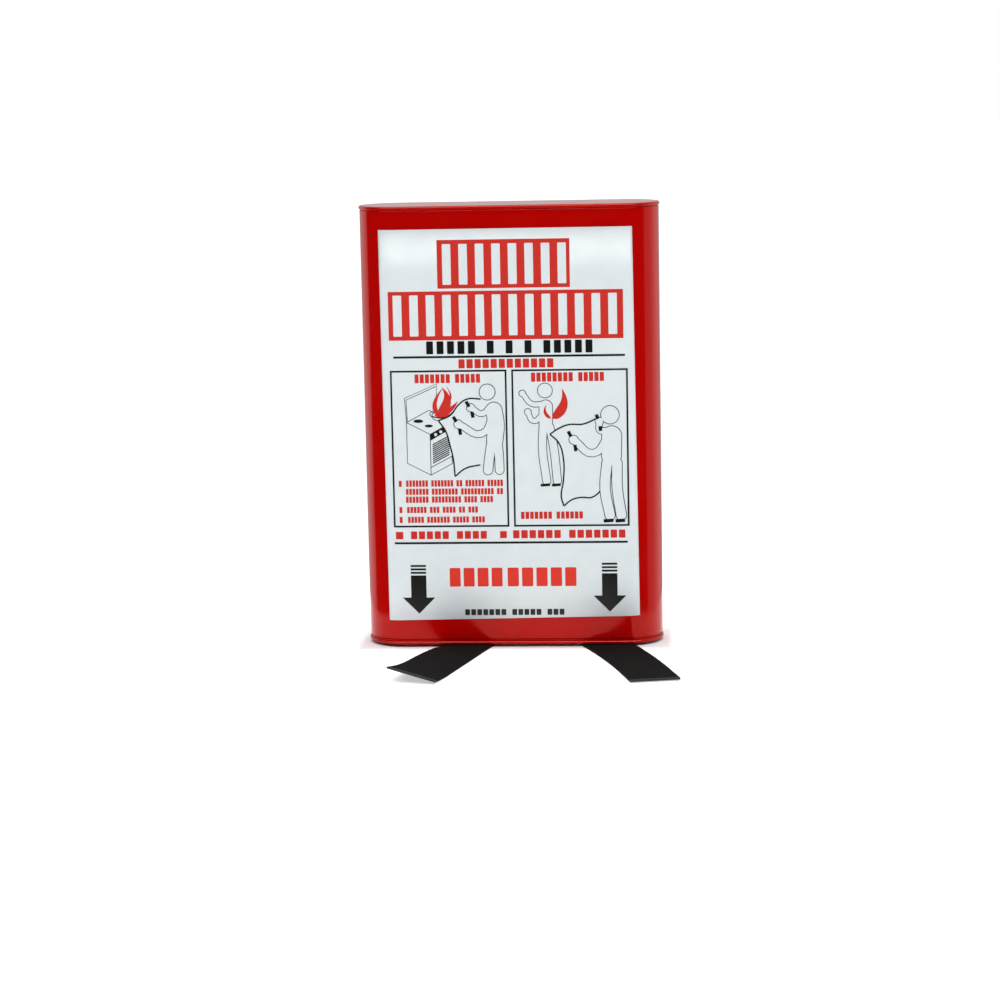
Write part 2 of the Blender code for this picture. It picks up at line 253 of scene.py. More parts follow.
edged = node(tree, "ShaderNodeMix", {
    "Factor": selvedge.outputs["Result"], "A": dusty.outputs["Result"], "B": linear("#0A090A")},
    data_type="RGBA")
sealed_end_and_painted_glint = node(tree, "ShaderNodeMapRange", {
    "Value": parts_uv.outputs["Y"], "From Min": TAPE_LENGTH - MELTED[0],
    "From Max": TAPE_LENGTH - MELTED[1]})
# Painted highlight: the sealed end's lighter blue-grey tone stands in for light catching its shiny melt;
# the lower roughness below is the melt's real gloss.
tone = node(tree, "ShaderNodeMix", {
    "Factor": sealed_end_and_painted_glint.outputs["Result"], "A": edged.outputs["Result"], "B": linear("#30363A")},
    data_type="RGBA")
tree.links.new(tone.outputs["Result"], shader.inputs["Base Color"])
hard = node(tree, "ShaderNodeMapRange", {
    "Value": sealed_end_and_painted_glint.outputs["Result"], "To Min": 0.85, "To Max": 0.35})
tree.links.new(hard.outputs["Result"], shader.inputs["Roughness"])
loose = node(tree, "ShaderNodeMath", {0: 1.0, 1: sealed_end_and_painted_glint.outputs["Result"]}, operation="SUBTRACT")
relief = node(tree, "ShaderNodeMath", {
    0: weave.outputs["Value"], 1: loose.outputs["Value"]}, operation="MULTIPLY")
skin = node(tree, "ShaderNodeBump", {
    "Height": relief.outputs["Value"], "Strength": 0.9, "Distance": 0.00025})
tree.links.new(skin.outputs["Normal"], shader.inputs["Normal"])
print("made", webbing.name)

# %% [markdown]
# ## Finish: coated glass-fibre cloth
#
# The blanket is plain-woven glass fibre with a thin coating, cream white and slightly shiny. Its
# yarns are well under a millimetre apart and are drawn 3.2 mm apart, so that they show. Two waves
# multiplied give the over and under of a plain weave more cheaply than an image would.

# %% Glass cloth
glass_cloth, tree, shader = new_finish(
    "coated_glass_fibre_cloth", IOR=1.5, Sheen_Weight=0.3, Sheen_Roughness=0.4)
flat_place = node(tree, "ShaderNodeUVMap", uv_map="cloth").outputs["UV"]
warp = node(tree, "ShaderNodeTexWave", {
    "Vector": flat_place, "Scale": per(3.16) * AXIS_BANDS, "Distortion": 0.4, "Detail": 1.0},
    wave_type="BANDS", bands_direction="X")
weft = node(tree, "ShaderNodeTexWave", {
    "Vector": flat_place, "Scale": per(3.16) * AXIS_BANDS, "Distortion": 0.4, "Detail": 1.0},
    wave_type="BANDS", bands_direction="Y")
weave = node(tree, "ShaderNodeMath", {
    0: warp.outputs["Fac"], 1: weft.outputs["Fac"]}, operation="MULTIPLY")
soil = node(tree, "ShaderNodeTexNoise", {"Vector": flat_place, "Scale": per(90), "Detail": 4.0})
clean = node(tree, "ShaderNodeMix", {
    "Factor": weave.outputs["Value"], "A": linear("#CFC9BA"), "B": linear("#EDEADF")},
    data_type="RGBA")
shade = node(tree, "ShaderNodeMapRange", {"Value": soil.outputs["Fac"], "To Min": 0.0, "To Max": 0.35})
tone = node(tree, "ShaderNodeMix", {
    "Factor": shade.outputs["Result"], "A": clean.outputs["Result"], "B": linear("#D8D0BC")},
    data_type="RGBA")
tree.links.new(tone.outputs["Result"], shader.inputs["Base Color"])
gloss = node(tree, "ShaderNodeMapRange", {"Value": soil.outputs["Fac"], "To Min": 0.45, "To Max": 0.65})
tree.links.new(gloss.outputs["Result"], shader.inputs["Roughness"])
skin = node(tree, "ShaderNodeBump", {
    "Height": weave.outputs["Value"], "Strength": 0.8, "Distance": 0.00018})
tree.links.new(skin.outputs["Normal"], shader.inputs["Normal"])
print("made", glass_cloth.name)

# %% [markdown]
# ## Finish: sewing thread
#
# The thread is twisted black polyester. Slanting bands stand for its twist. They are 2.4 mm apart
# along a level or upright stitch, far coarser than the real twist.

# %% Thread
thread, tree, shader = new_finish("black_polyester_thread", IOR=1.5, Roughness=0.5, Sheen_Weight=0.2)
place = node(tree, "ShaderNodeTexCoord").outputs["Object"]
twist = node(tree, "ShaderNodeTexWave", {
    "Vector": place, "Scale": per(2.37) * DIAGONAL_BANDS}, wave_type="BANDS",
    bands_direction="DIAGONAL")
tone = node(tree, "ShaderNodeMix", {
    "Factor": twist.outputs["Fac"], "A": linear("#121112"), "B": linear("#343233")}, data_type="RGBA")
tree.links.new(tone.outputs["Result"], shader.inputs["Base Color"])
skin = node(tree, "ShaderNodeBump", {
    "Height": twist.outputs["Fac"], "Strength": 0.7, "Distance": 0.0001})
tree.links.new(skin.outputs["Normal"], shader.inputs["Normal"])
print("made", thread.name)

# %% [markdown]
# ## Helpers for pieces
#
# Each piece starts in a bmesh and ends as an object at the origin. Smooth shading with sharp edges
# kept past an angle shows bends round and folds crisp.

# %% Piece helpers
SAME_POINT = 1e-6
FOLD_ANGLE = 32  # degrees; a sharper bend than this shows as a crease


def make(bm, name, *looks, sharp=FOLD_ANGLE):
    mesh = bpy.data.meshes.new(name)
    bm.to_mesh(mesh)
    bm.free()
    for look in looks:
        mesh.materials.append(look)
    obj = bpy.data.objects.new(name, mesh)
    bpy.context.scene.collection.objects.link(obj)
    mesh.shade_smooth()
    mesh.set_sharp_from_angle(angle=radians(sharp))
    return obj


def settle(obj):
    """Turn the modifiers' result into the mesh itself."""
    bpy.context.view_layer.update()
    graph = bpy.context.evaluated_depsgraph_get()
    done = bpy.data.meshes.new_from_object(
        obj.evaluated_get(graph), preserve_all_data_layers=True, depsgraph=graph)
    obj.modifiers.clear()
    obj.data = done
    return obj


def report(obj):
    print(f"{obj.name}: {len(obj.data.vertices)} vertices, {len(obj.data.polygons)} faces")
    return obj


def of_kind(found, kind):
    return [g for g in found if isinstance(g, kind)]


print("same point within", SAME_POINT, "m")

# %% [markdown]
# ## Carry a profile round the case
#
# All three stampings have the same plan: two straights and two half-round ends. A lathe-like spin
# makes each end and a row of extrusions makes each straight, so one function carries any profile of
# (stand-off, height) stations round the case. The straights are cut into columns, because one long
# face would smear the end's shading along it.

# %% Profile sweep
ARC_STEPS = 64
FLAT_STEPS = 14


def carry_round(profile, closed=False):
    bm = bmesh.new()
    verts = [bm.verts.new((STRAIGHT, MID_Y - RADIUS - off, z)) for off, z in profile]
    edges = [bm.edges.new(pair) for pair in zip(verts, verts[1:])]
    if closed:
        edges.append(bm.edges.new((verts[-1], verts[0])))
    step = 2 * STRAIGHT / FLAT_STEPS
    for side in (1, -1):
        turned = bmesh.ops.spin(
            bm, geom=edges, cent=(side * STRAIGHT, MID_Y, 0), axis=(0, 0, 1), angle=pi,
            steps=ARC_STEPS, use_merge=False)
        edges = of_kind(turned["geom_last"], bmesh.types.BMEdge)
        for _ in range(FLAT_STEPS):
            grown = bmesh.ops.extrude_edge_only(bm, edges=edges)["geom"]
            moved = of_kind(grown, bmesh.types.BMVert)
            bmesh.ops.translate(bm, verts=moved, vec=(-side * step, 0, 0))
            edges = of_kind(grown, bmesh.types.BMEdge)
    bmesh.ops.remove_doubles(bm, verts=bm.verts, dist=SAME_POINT)
    bmesh.ops.recalc_face_normals(bm, faces=bm.faces)
    return bm


def rounding(off, z, out, up, steps=7):
    """Stations round a quarter of an ellipse, from its side to its flat. Negative up goes down."""
    turns = [pi / 2 * i / steps for i in range(steps + 1)]
    return [(off + out * cos(t), z + up * sin(t)) for t in turns]


print("stations round the case:", 2 * (ARC_STEPS + FLAT_STEPS))

# %% [markdown]
# ## The body
#
# The body is one sheet wrapped to a tube, with both rims rolled a little to take the end pieces. Its
# edges are folded into each other and pressed flat inside the back: a lock seam, which shows outside
# as one hairline joint. Two keyholes are punched in the back. Cutting them with Booleans is quicker
# than routing faces round them by hand, and on a flat panel it costs nothing in shading.

# %% Body sheet
RIM_ROUND = 0.0004
EDGE_BAND = 0.004
low, high = shell_low.z, shell_high.z
profile = [(-SHEET, low), *rounding(-RIM_ROUND, low + RIM_ROUND, RIM_ROUND, -RIM_ROUND, 4)[::-1]]
profile += [(0, low + EDGE_BAND), (0, high - EDGE_BAND)]
profile += [*rounding(-RIM_ROUND, high - RIM_ROUND, RIM_ROUND, RIM_ROUND, 4), (-SHEET, high)]
profile += [(-SHEET, high - EDGE_BAND), (-SHEET, low + EDGE_BAND)]
body = make(carry_round(profile, closed=True), "case_body", enamel)
report(body)

# %% [markdown]
# ### The lock seam and the keyholes
#
# A press folds the seam and punches the keyholes. Here each is a tool: the fold is a bar joined to
# the inside, the joint is a thin cut, and a keyhole is a round entry with a narrow slot above it.

# %% Seam and keyhole tools
KEYHOLE_SPAN = 0.100
KEYHOLE_HEAD = 0.009
KEYHOLE_SLOT = 0.0046
KEYHOLE_RUN = 0.009
SEAM_W = 0.008
SEAM_T = 0.0012
JOINT_W = 0.0004
JOINT_DEEP = 0.0005
FOLD_ROUND = 0.0005
SKIRT_REACH = 0.0056


def tool(bm, name):
    bmesh.ops.recalc_face_normals(bm, faces=bm.faces)
    return make(bm, name)


def block(centre, size):
    bm = bmesh.new()
    bmesh.ops.create_cube(
        bm, size=1.0, matrix=Matrix.Translation(centre) @ Matrix.Diagonal((*size, 1.0)))
    return bm


def drill(centre, diameter, run, name):
    """A round tool through the back, drawn out downwards into a slot where run isn't 0."""
    bm = bmesh.new()
    bmesh.ops.create_cone(
        bm, cap_ends=True, segments=48, radius1=diameter / 2, radius2=diameter / 2, depth=4 * SHEET,
        matrix=Matrix.Translation(centre) @ Matrix.Rotation(pi / 2, 4, "X"))
    lower = [v for v in bm.verts if v.co.z < centre.z - SAME_POINT]
    bmesh.ops.translate(bm, verts=lower, vec=(0, 0, -run))
    return tool(bm, name)


seam_low = shell_low.z + SKIRT_REACH
seam_high = shell_high.z - SKIRT_REACH
seam_mid = (seam_low + seam_high) / 2
fold = block((0, -SHEET / 2 - SEAM_T / 2, seam_mid), (SEAM_W, SHEET + SEAM_T, seam_high - seam_low))
inner = [e for e in fold.edges if all(v.co.y < -SHEET for v in e.verts)]
bmesh.ops.bevel(
    fold, geom=inner, offset=FOLD_ROUND, affect="EDGES", segments=3, profile=0.5, material=-1)
tools = [(tool(fold, "seam_fold"), "UNION")]
joint = block((0, 0, seam_mid), (JOINT_W, JOINT_DEEP, shell_high.z - shell_low.z + SHEET))
tools.append((tool(joint, "seam_joint"), "DIFFERENCE"))
for side in (-1, 1):
    seat = Vector((side * KEYHOLE_SPAN / 2, -SHEET / 2, 0.0))
    entry = seat - Vector((0, 0, KEYHOLE_RUN))
    tools.append((drill(entry, KEYHOLE_HEAD, 0, f"entry_{side}"), "DIFFERENCE"))
    tools.append((drill(seat, KEYHOLE_SLOT, KEYHOLE_RUN, f"slot_{side}"), "DIFFERENCE"))
for cutter, operation in tools:
    cut = body.modifiers.new(cutter.name, "BOOLEAN")
    cut.operation = operation
    cut.solver = "EXACT"
    cut.object = cutter
settle(body)
for cutter, _ in tools:
    bpy.data.objects.remove(cutter)
body.data.set_sharp_from_angle(angle=radians(FOLD_ANGLE))
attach(body, "case")
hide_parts("case_shell")
report(body)

# %% [markdown]
# ## The lid
#
# The lid is a stamping pressed on to the body, with a rolled bead that stands a little proud and a
# skirt inside. The bead is drawn as two quarter ellipses back to back, so its upper half catches a
# line of light. A curve gives that line, where a bevelled edge would give a flat facet.

# %% Lid
LID_T = 2 * SHEET
SKIRT_DEPTH = 0.005
PANEL_MARGIN = 0.0012
BEAD_IN = 0.0011
BEAD_UNDER, BEAD_OVER = 0.4, 0.55  # shares of the lid's band that the two quarters take
band_low = shell_high.z + FIT
band = TOP_Z - band_low
corner = BEAD_PROUD - BEAD_IN
profile = [(SKIRT_IN - PANEL_MARGIN, TOP_Z - LID_T), (SKIRT_IN, TOP_Z - LID_T)]
profile += [(SKIRT_IN, band_low - SKIRT_DEPTH), (SKIRT_OUT, band_low - SKIRT_DEPTH)]
profile += [(SKIRT_OUT, band_low)]
profile += rounding(
    corner, band_low + BEAD_UNDER * band, BEAD_IN, -BEAD_UNDER * band)[::-1]
profile += rounding(corner, TOP_Z - BEAD_OVER * band, BEAD_IN, BEAD_OVER * band)
profile += [(corner - PANEL_MARGIN, TOP_Z)]
bm = carry_round(profile)
bmesh.ops.holes_fill(bm, edges=[e for e in bm.edges if e.is_boundary], sides=0)
bmesh.ops.recalc_face_normals(bm, faces=bm.faces)
lid = make(bm, "case_lid", enamel)
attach(lid, "case")
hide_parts("top_end")
report(lid)

# %% [markdown]
# ## The mouth ring
#
# The ring at the open end is stamped like the lid and then pierced, which leaves a lip that keeps
# the folded blanket in. Its bead is fuller and ends in a groove under the body, which stays dark.

# %% Mouth ring
RING_QUARTER = 0.3  # share of the ring's band that each quarter of its bead takes
RING_BELLY = 0.35  # height at which the upper one starts
band_high = shell_low.z - FIT
band = band_high - BASE_Z
profile = [(LIP_IN, BASE_Z + LIP_T), (LIP_IN, BASE_Z)]
profile += rounding(
    corner, BASE_Z + RING_QUARTER * band, BEAD_IN, -RING_QUARTER * band)[::-1]
profile += rounding(corner, BASE_Z + RING_BELLY * band, BEAD_IN, RING_QUARTER * band)
profile += [(0, band_high), (SKIRT_OUT, band_high), (SKIRT_OUT, ring_high.z), (SKIRT_IN, ring_high.z)]
profile += [(SKIRT_IN, BASE_Z + LIP_T)]
ring = make(carry_round(profile, closed=True), "mouth_ring", enamel)
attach(ring, "case")
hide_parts("bottom_ring")
report(ring)

# %% [markdown]
# ## The label
#
# The label is wider than the flat front, so it follows both ends for about a centimetre. It is stuck
# on by hand, slightly off square. It is drawn flat, in millimetres from the front's middle and
# above the mouth, and then wrapped on to the wall. Everything printed on it is wrapped by the same
# function, so it stays in register.

# %% Wrap from flat to wall
LABEL_FACE = FIT + LABEL_T
LABEL_COLUMNS = 96
LABEL_ROWS = 8
WRAP_CUTS = 6
CUT_PITCH = 2  # millimetres between cuts where the print bends round the ends
LABEL_CORNERS = {  # (run, height) of each corner in millimetres
    "low": ((-82.7, 16.6), (83.5, 19.0)), "high": ((-84.0, 275.0), (81.1, 275.2))}


def wall_point(run, stand):
    side = 1 if run >= 0 else -1
    beyond = abs(run) - STRAIGHT
    if beyond <= 0:
        return run, MID_Y - RADIUS - stand
    turn = beyond / RADIUS
    return side * (STRAIGHT + (RADIUS + stand) * sin(turn)), MID_Y - (RADIUS + stand) * cos(turn)


def wrap(bm, stand):
    """Wrap a flat drawing in millimetres on to the wall. Its Z is thickness, from the stand-off out."""
    for cut in range(WRAP_CUTS):
        for side in (-1, 1):
            place = side * (STRAIGHT * 1000 + CUT_PITCH * cut)
            bmesh.ops.bisect_plane(
                bm, geom=[*bm.verts, *bm.edges, *bm.faces], plane_co=(place, 0, 0),
                plane_no=(1, 0, 0), dist=SAME_POINT)
    for vert in bm.verts:
        x, y = wall_point(vert.co.x / 1000, stand + vert.co.z / 1000)
        vert.co = (x, y, BASE_Z + vert.co.y / 1000)
    bmesh.ops.recalc_face_normals(bm, faces=bm.faces)


print(f"the label goes {LABEL_CORNERS['high'][1][0] - STRAIGHT * 1000:.1f} mm round the right end")

# %% [markdown]
# ### The label's sheet
#
# The vinyl is die-cut to four corners. A grid is stretched between them and wrapped, and then given
# its thickness outwards, so its back lies a hair off the enamel.

# %% Label sheet
bm = bmesh.new()
bmesh.ops.create_grid(bm, x_segments=LABEL_COLUMNS, y_segments=LABEL_ROWS, size=0.5)
for vert in bm.verts:
    across, up = vert.co.x + 0.5, vert.co.y + 0.5
    low, high = (Vector(LABEL_CORNERS[row][0]).lerp(Vector(LABEL_CORNERS[row][1]), across)
                 for row in ("low", "high"))
    run, height = low.lerp(high, up)
    x, y = wall_point(run / 1000, FIT)
    vert.co = (x, y, BASE_Z + height / 1000)
bmesh.ops.recalc_face_normals(bm, faces=bm.faces)
bm.normal_update()
outward = 1.0 if next(iter(bm.faces)).normal.y < 0 else -1.0
label = make(bm, "label_sheet", vinyl)
skin = label.modifiers.new("Thickness", "SOLIDIFY")
skin.thickness = LABEL_T
skin.offset = outward
settle(label)
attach(label, "case")
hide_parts("front_label")
report(label)

# %% [markdown]
# ## Printing
#
# The print is modelled as films of ink a few hundredths of a millimetre thick, one piece per ink.
# Lettering is left as rows of plain blocks, as a designer roughs in type, and the figures are plain
# round-headed pictograms. Blocks are cubes, solid outlines are filled curves, and drawn lines are
# curves with a round section pressed flat: a curve gives even line width for free.

# %% Ink helpers
INK = 0.03
INK_MERGE = 0.0005
TYPE_ROUND = 0.1  # share of a block of type that its corners are rounded by
THIN, THICK, TAPE_STROKE = 0.5, 1.0, 2.2


def layer_mid(layer):
    """Height of the middle of a layer of ink, where layer 0 lies on the vinyl."""
    return INK * (layer + 0.5)


def ink_block(bm, left, right, low, high, round_by=0.0, layer=0):
    place = Matrix.Translation(((left + right) / 2, (low + high) / 2, layer_mid(layer)))
    made = bmesh.ops.create_cube(
        bm, size=1.0, matrix=place @ Matrix.Diagonal((right - left, high - low, INK, 1.0)))
    if round_by:
        upright = [e for e in {e for v in made["verts"] for e in v.link_edges}
                   if abs(e.verts[0].co.z - e.verts[1].co.z) > INK / 2]
        bmesh.ops.bevel(
            bm, geom=upright, offset=round_by, affect="EDGES", segments=3, profile=0.5, material=-1)


def type_row(bm, left, right, low, high, words, fill=0.78, space=0.8, layer=0):
    """Blocks in place of a line of type, so many to a word."""
    unit = (right - left) / (sum(words) + space * (len(words) - 1) - (1 - fill))
    start = left
    for count in words:
        for i in range(count):
            place = start + i * unit
            ink_block(bm, place, place + fill * unit, low, high,
                      TYPE_ROUND * min(high - low, fill * unit), layer)
        start += (count + space) * unit


def ink_frame(bm, left, right, low, high, line):
    ink_block(bm, left, right, high - line, high)
    ink_block(bm, left, right, low, low + line)
    ink_block(bm, left, left + line, low + line, high - line)
    ink_block(bm, right - line, right, low + line, high - line)


def curve_into(bm, paths, line=None, layer=0, corners=False):
    """Add curves to a drawing: filled outlines, or lines of a width where one is given."""
    data = bpy.data.curves.new("drawing", "CURVE")
    data.resolution_u = 5
    data.dimensions = "2D" if line is None else "3D"
    if line is None:
        data.fill_mode = "BOTH"
        data.extrude = INK / 2
    else:
        data.fill_mode = "FULL"
        data.bevel_depth = line / 2
        data.bevel_resolution = 1
        data.use_fill_caps = True
    for points in paths:
        spline = data.splines.new("BEZIER")
        spline.bezier_points.add(len(points) - 1)
        for knot, (x, y) in zip(spline.bezier_points, points):
            knot.co = (x, y, 0)
            knot.handle_left_type = knot.handle_right_type = "VECTOR" if corners else "AUTO"
        spline.use_cyclic_u = line is None
    drawing = bpy.data.objects.new("drawing", data)
    bpy.context.scene.collection.objects.link(drawing)
    bpy.context.view_layer.update()
    graph = bpy.context.evaluated_depsgraph_get()
    mesh = bpy.data.meshes.new_from_object(drawing.evaluated_get(graph), depsgraph=graph)
    press = INK / line if line else 1.0
    mesh.transform(Matrix.Translation((0, 0, layer_mid(layer))) @ Matrix.Diagonal((1, 1, press, 1)))
    bm.from_mesh(mesh)
    bpy.data.objects.remove(drawing)
    bpy.data.curves.remove(data)
    bpy.data.meshes.remove(mesh)


def disc(bm, x, y, radius, layer=0, flat=1.0):
    """A round of ink, or an oval where flat isn't 1."""
    place = Matrix.Translation((x, y, layer_mid(layer))) @ Matrix.Diagonal((1, flat, 1, 1))
    bmesh.ops.create_cone(
        bm, cap_ends=True, segments=32, radius1=radius, radius2=radius, depth=INK, matrix=place)


def printed(bm, name, look):
    bmesh.ops.remove_doubles(bm, verts=bm.verts, dist=INK_MERGE)
    wrap(bm, LABEL_FACE)
    done = make(bm, name, look)
    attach(done, "case")
    return report(done)


print(f"a layer of ink is {INK * 1000:.0f} micrometres")

# %% [markdown]
# ### Figures and flames
#
# A pictogram figure is built from limbs: thick rounded strokes in black, and the same strokes a
# little thinner in white one layer up. The white hides every black line inside the figure, so what
# is left is one clean outline. A flame is a spine with a width that swells low down and ends in a
# point.

# %% Pictogram helpers
STEP = 0.06
SWELL = 0.6  # below 1, a flame is widest low down


def oval(x, y, across, up, steps=16):
    return [(x + across * cos(2 * pi * i / steps), y + up * sin(2 * pi * i / steps))
            for i in range(steps + 1)]


def figure(black, white, layer, limbs, rounds):
    """Limbs as (points, width) and rounds as (x, y, radius), outlined in black one layer down.

    Each stroke starts a hair above the last, so no two faces lie in one plane.
    """
    for bm, level, grow in ((black, layer, THIN), (white, layer + 1, 0.0)):
        for points, width in limbs:
            curve_into(bm, [points], width + 2 * grow, level)
            for x, y in (points[0], points[-1]):
                level += STEP
                disc(bm, x, y, width / 2 + grow, level)
        for x, y, radius in rounds:
            level += STEP
            disc(bm, x, y, radius + grow, level)


def flames(bm, layer, tongues, steps=10):
    """Tongues of flame as (base, bend, tip, width)."""
    for base, bend, tip, width in tongues:
        layer += STEP
        curve_into(bm, [tongue(base, bend, tip, width, steps)], layer=layer, corners=True)


def tongue(base, bend, tip, width, steps):
    base, bend, tip = Vector(base), Vector(bend), Vector(tip)
    left, right = [], []
    for i in range(steps + 1):
        t = i / steps
        spine = base.lerp(bend, t).lerp(bend.lerp(tip, t), t)
        ahead = (bend - base).lerp(tip - bend, t).normalized()
        half = width / 2 * sin(pi * t ** SWELL)
        left.append(spine + Vector((-ahead.y, ahead.x)) * half)
        right.append(spine - Vector((-ahead.y, ahead.x)) * half)
    return left + right[-2:0:-1]


red, white, black, warm = bmesh.new(), bmesh.new(), bmesh.new(), bmesh.new()
print("drawings started")

# %% [markdown]
# ### Red and warm red ink
#
# Red prints the two title panels, the headings and the rows of small type. Sizes are millimetres on
# the label: left, right, low, high, and then how many blocks each word has. White bars over a title
# panel stand for reversed-out letters, which a printer gets by leaving the ink off.

# %% Red ink: two title panels, headings, instruction rows and bullets
ink_block(red, -45.6, 40.6, 236.5, 268.1)
ink_block(red, -78.2, 74.8, 202.9, 234.8)
type_row(red, -33.0, 29.0, 184.3, 190.3, [12])
type_row(red, -62.0, -19.1, 174.8, 180.6, [7, 5])
type_row(red, 14.3, 61.8, 175.0, 181.0, [8, 5])
for left, right, low, high, words in (
    (-69.3, -5.4, 106.3, 110.6, [7, 7, 2, 6, 5]),
    (-69.5, -5.5, 100.9, 105.0, [7, 8, 10, 2]),
    (-69.6, -12.2, 95.6, 99.8, [7, 9, 4, 4]),
    (-69.1, -22.3, 88.8, 92.9, [6, 3, 4, 2, 3]),
    (-68.6, -17.8, 82.2, 86.3, [5, 7, 5, 4]),
    (6.1, 46.8, 84.3, 89.1, [7, 6]),
    (-66.9, -16.7, 71.3, 76.5, [5, 4]),
    (0.6, 74.5, 71.4, 76.8, [6, 7]),
):
    type_row(red, left, right, low, high, words)
for low in (106.3, 88.8, 82.2):
    ink_block(red, -74.1, -72.2, low, low + 4.1)
ink_block(red, -76.9, -72.0, 71.3, 76.2)
ink_block(red, -8.0, -3.5, 71.6, 76.3)
print("red rows:", len(red.faces), "faces")

# %% White bars over the title panels
type_row(white, -42.2, 38.3, 239.0, 265.4, [8], fill=0.52, layer=1)
type_row(white, -75.1, 70.8, 205.6, 232.4, [14], fill=0.52, layer=1)
print("white bars:", len(white.faces), "faces")

# %% Warm red ink
type_row(warm, -41.9, -6.9, 39.2, 51.8, [4])
type_row(warm, -3.5, 41.9, 39.2, 51.8, [5])
print("warm red row:", len(warm.faces), "faces")

# %% [markdown]
# ### Black ink
#
# Black prints the rules, the frames of both drawings and the two arrows, which point at the tapes.

# %% Black ink: rules, frames, arrows and rows
def arrow(bm, middle, base):
    """Three bars and an arrow that points down, standing from a height."""
    for low in (26.9, 29.2, 31.5):
        ink_block(bm, middle - 5.1, middle + 5.1, base + low, base + low + 1.35)
    ink_block(bm, middle - 5.1, middle + 5.1, base + 10.9, base + 25.8)
    head = [(middle - 10.8, base + 10.9), (middle, base), (middle + 10.8, base + 10.9)]
    curve_into(bm, [head], corners=True)


type_row(black, -53.9, 54.6, 193.8, 202.2, [5, 1, 1, 1, 5], fill=0.66)
type_row(black, -32.1, 33.6, 19.9, 23.9, [7, 5, 3])
ink_block(black, -75.6, 75.6, 191.2, 192.6)
ink_block(black, -77.8, 75.9, 67.9, 69.3)
ink_frame(black, -78.1, -1.7, 79.2, 183.2, 1.2)
ink_frame(black, 1.4, 77.3, 79.2, 183.2, 1.2)
arrow(black, -62.6, 21.1)
arrow(black, 63.8, 21.8)
print("black so far:", len(black.faces), "faces")

# %% [markdown]
# ### The two pictograms
#
# One shows a figure bringing the cloth to a pan on fire, the other to a person. They are drawn as
# open strokes and solid shapes from listed points, in millimetres on the label.

# %% Pictogram at left: a cooker and a pan on fire
LEFT, FRONT, RIGHT = -68.0, -52.6, -38.5
SLANT = 0.53
cooker = [
    [(LEFT, 149), (FRONT, 141), (RIGHT, 149), (-53, 157), (LEFT, 149)],
    [(LEFT, 149), (LEFT, 122), (FRONT, 114), (RIGHT, 121.5), (RIGHT, 149)],
    [(FRONT, 141), (FRONT, 114)], [(FRONT, 119), (RIGHT, 126.5)],
    [(LEFT, 149), (-69, 165), (-47.5, 174.4), (-48.4, 159.4)],
    [(-67.4, 149.8), (-68, 163.8), (-48.2, 172.6)],
]
curve_into(black, cooker, THIN, corners=True)
curve_into(black, [[(FRONT, 141), (RIGHT, 149), (RIGHT, 144.8), (FRONT, 136.8)]], corners=True)
for i in range(10):
    low = 121.5 + 1.35 * i
    rise = SLANT * (RIGHT - FRONT - 3.0)
    bar = [(FRONT + 1.4, low), (RIGHT - 1.6, low + rise),
           (RIGHT - 1.6, low + rise + 0.85), (FRONT + 1.4, low + 0.85)]
    curve_into(black, [bar], corners=True)
for x, y in ((-49.0, 140.9), (-45.6, 142.7)):
    disc(white, x, y, 1.0, layer=1)
disc(black, -60.2, 149.8, 3.2, flat=0.36)
disc(black, -53.4, 146.6, 2.7, flat=0.36)
pan = [oval(-45, 154.4, 7.6, 2.7), oval(-45, 153.9, 6.2, 1.9),
       [(-52.4, 153.8), (-49, 150.4), (-41, 150.4)]]
curve_into(black, pan, THIN)
disc(red, -44.2, 153.6, 5.2, layer=1, flat=0.28)
flames(red, 1, [
    ((-46.6, 153.4), (-53.4, 160.4), (-42.8, 172.4), 3.0),
    ((-47.4, 153.4), (-36.4, 162.5), (-44.2, 172), 6.2),
    ((-46.4, 153.4), (-37.2, 157.0), (-34.0, 163), 3.4),
    ((-41.6, 161), (-35.6, 165.4), (-41.6, 172.8), 1.5)])
print("cooker and pan drawn")

# %% A figure holding the cloth by its tapes
def carried_cloth(top, side, bottom, hidden):
    """A cloth seen flat: white over what it hides, with a thick outline on three sides."""
    curve_into(white, [[*top, *hidden, *bottom[::-1], *side[-2:0:-1]]], layer=2, corners=True)
    curve_into(black, [top, side, bottom], THICK, layer=3)


carried_cloth(
    top=[(-47, 150), (-39, 153.6), (-33.5, 160.4), (-27.5, 164.2), (-19, 164)],
    side=[(-47, 150), (-42.3, 143), (-39.8, 134), (-37.8, 125), (-36.8, 113)],
    bottom=[(-36.8, 113), (-30, 118.2), (-20, 120.6)], hidden=[(-18, 150)])
figure(black, white, 3, limbs=[
    ([(-8.2, 134), (-7.6, 126), (-7.4, 117)], 5.4), ([(-12.6, 134), (-14.0, 125), (-15.0, 117)], 5.8),
    ([(-10.4, 156.5), (-9.2, 147), (-10.2, 137)], 10.4),
    ([(-13, 158.4), (-18.4, 154.4), (-25, 158.2)], 3.4),
    ([(-10.6, 155.4), (-18.6, 141.2), (-33.4, 147.4)], 4.2),
], rounds=[(-14.6, 168.6, 5.0), (-25.6, 158.4, 2.5), (-34.0, 147.6, 2.7)])
curve_into(black, [[(-28.6, 162.6), (-26.6, 159)], [(-24.8, 155.6), (-24.2, 151.8)],
                   [(-37.2, 152.6), (-35.2, 149.2)], [(-33.2, 144.6), (-32.6, 140.6)]],
           TAPE_STROKE, layer=6, corners=True)
print("left pictogram drawn")

